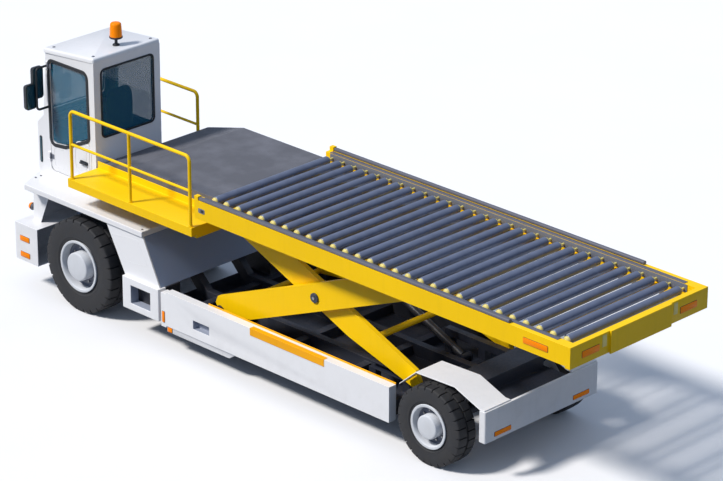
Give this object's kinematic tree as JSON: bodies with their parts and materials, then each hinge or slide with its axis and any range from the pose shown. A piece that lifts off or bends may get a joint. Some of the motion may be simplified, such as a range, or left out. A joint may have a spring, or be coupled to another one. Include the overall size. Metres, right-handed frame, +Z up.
{
  "type": "aircraft cargo loader",
  "caption": "Self-propelled scissor-lift cargo loader with a roller deck, side cab, bridge and walkway on four wheels.",
  "frame": {"origin": "on the ground under the middle of the whole machine", "axes": "+X forward to the cab end, +Y to the left side, +Z up"},
  "size_m": [9.426, 2.37, 3.5214],
  "materials": {
    "white_paint": "satin white paint",
    "yellow_paint": "semi-gloss safety yellow paint",
    "dark_paint": "satin near-black chassis paint",
    "grey_plate": "matt dark grey anti-slip paint",
    "roller_steel": "satin slate grey sleeves",
    "engine_iron": "cast",
    "black_steel": "satin black",
    "chrome_rod": "polished",
    "rim_grey": "satin light grey",
    "tyre_rubber": "matt rubber",
    "tinted_glass": "tinted teal",
    "black_plastic": "grained",
    "seat_cloth": "dark woven",
    "amber_lens": "clear amber"
  },
  "bodies": {
    "chassis": {"beacon": "amber_lens", "beam_trim": "yellow_paint", "bridge": "grey_plate", "cab_glass": "tinted_glass", "cab_roof": "white_paint", "cab_shell": "white_paint", "chassis_frame": "dark_paint", "chassis_mounts": "dark_paint", "dashboard": "black_plastic", "engine": "engine_iron", "front_axle": "dark_paint", "front_bumper": "white_paint", "front_housing": "white_paint", "front_platform": "white_paint", "handrails": "yellow_paint", "lamps": "amber_lens", "mirrors": "black_plastic", "rear_axle": "dark_paint", "rear_bumper": "white_paint", "rear_fenders": "white_paint", "seat": "seat_cloth", "side_beams": "white_paint", "step_boxes": "white_paint", "walkway": "yellow_paint"},
    "outer_arms": {"outer_arms": "yellow_paint", "centre_pins": "black_steel"},
    "inner_arms": {"inner_arms": "yellow_paint"},
    "deck": {"deck_frame": "yellow_paint", "deck_rollers": "roller_steel", "deck_rails": "grey_plate", "deck_markers": "amber_lens"},
    "lift_barrels": {"lift_barrels": "black_steel"},
    "lift_rods": {"lift_rods": "chrome_rod"},
    "cab_door": {"cab_door": "white_paint", "door_glass": "tinted_glass"},
    "knuckle_left": {"knuckle_left": "dark_paint"},
    "knuckle_right": {"knuckle_right": "dark_paint"},
    "wheel_front_left": {"tyre_front_left": "tyre_rubber", "rim_front_left": "rim_grey"},
    "wheel_front_right": {"tyre_front_right": "tyre_rubber", "rim_front_right": "rim_grey"},
    "wheel_rear_left": {"tyre_rear_left": "tyre_rubber", "rim_rear_left": "rim_grey"},
    "wheel_rear_right": {"tyre_rear_right": "tyre_rubber", "rim_rear_right": "rim_grey"}
  },
  "joints": [
    {"name": "steer_left", "type": "hinge", "parent": "chassis", "child": "knuckle_left", "pos_m": [3.481, 0.8, 0.616], "axis": [0, 0, 1], "range_deg": [-30, 30]},
    {"name": "steer_right", "type": "hinge", "parent": "chassis", "child": "knuckle_right", "pos_m": [3.481, -0.8, 0.616], "axis": [0, 0, 1], "range_deg": [-30, 30]},
    {"name": "scissor_lift", "type": "hinge", "parent": "chassis", "child": "outer_arms", "pos_m": [1.13, 0, 0.7], "axis": [0, 1, 0], "range_deg": [-12, 24]},
    {"name": "scissor_fold", "type": "hinge", "parent": "outer_arms", "child": "inner_arms", "pos_m": [-0.49, 0, 1.365], "axis": [0, 1, 0], "range_deg": [-48, 24]},
    {"name": "deck_level", "type": "hinge", "parent": "inner_arms", "child": "deck", "pos_m": [1.13, 0, 2.03], "axis": [0, 1, 0], "range_deg": [-12, 24]},
    {"name": "barrel_tilt", "type": "hinge", "parent": "chassis", "child": "lift_barrels", "pos_m": [-1.62, 0, 0.52], "axis": [0, -1, 0], "range_deg": [-6.41, 12.82]},
    {"name": "rod_slide", "type": "slide", "parent": "lift_barrels", "child": "lift_rods", "axis": [0.9204, 0, 0.3909], "range_m": [-0.2085, 0.4169]},
    {"name": "door_swing", "type": "hinge", "parent": "chassis", "child": "cab_door", "pos_m": [4.44, 0.705, 2.27], "axis": [0, 0, -1], "range_deg": [0, 75]},
    {"name": "spin_front_left", "type": "hinge", "parent": "knuckle_left", "child": "wheel_front_left", "pos_m": [3.481, 0.94, 0.616], "axis": [0, 1, 0], "continuous": true},
    {"name": "spin_front_right", "type": "hinge", "parent": "knuckle_right", "child": "wheel_front_right", "pos_m": [3.481, -0.94, 0.616], "axis": [0, 1, 0], "continuous": true},
    {"name": "spin_rear_left", "type": "hinge", "parent": "chassis", "child": "wheel_rear_left", "pos_m": [-2.559, 0.97, 0.488], "axis": [0, 1, 0], "continuous": true},
    {"name": "spin_rear_right", "type": "hinge", "parent": "chassis", "child": "wheel_rear_right", "pos_m": [-2.559, -0.97, 0.488], "axis": [0, 1, 0], "continuous": true}
  ],
  "couplings": [
    {"joint": "steer_right", "follows": "steer_left", "ratio": 1},
    {"joint": "scissor_fold", "follows": "scissor_lift", "ratio": -2},
    {"joint": "deck_level", "follows": "scissor_lift", "ratio": 1},
    {"joint": "barrel_tilt", "follows": "scissor_lift", "ratio": 0.53403},
    {"joint": "rod_slide", "follows": "scissor_lift", "m_per_rad": 0.99507}
  ]
}
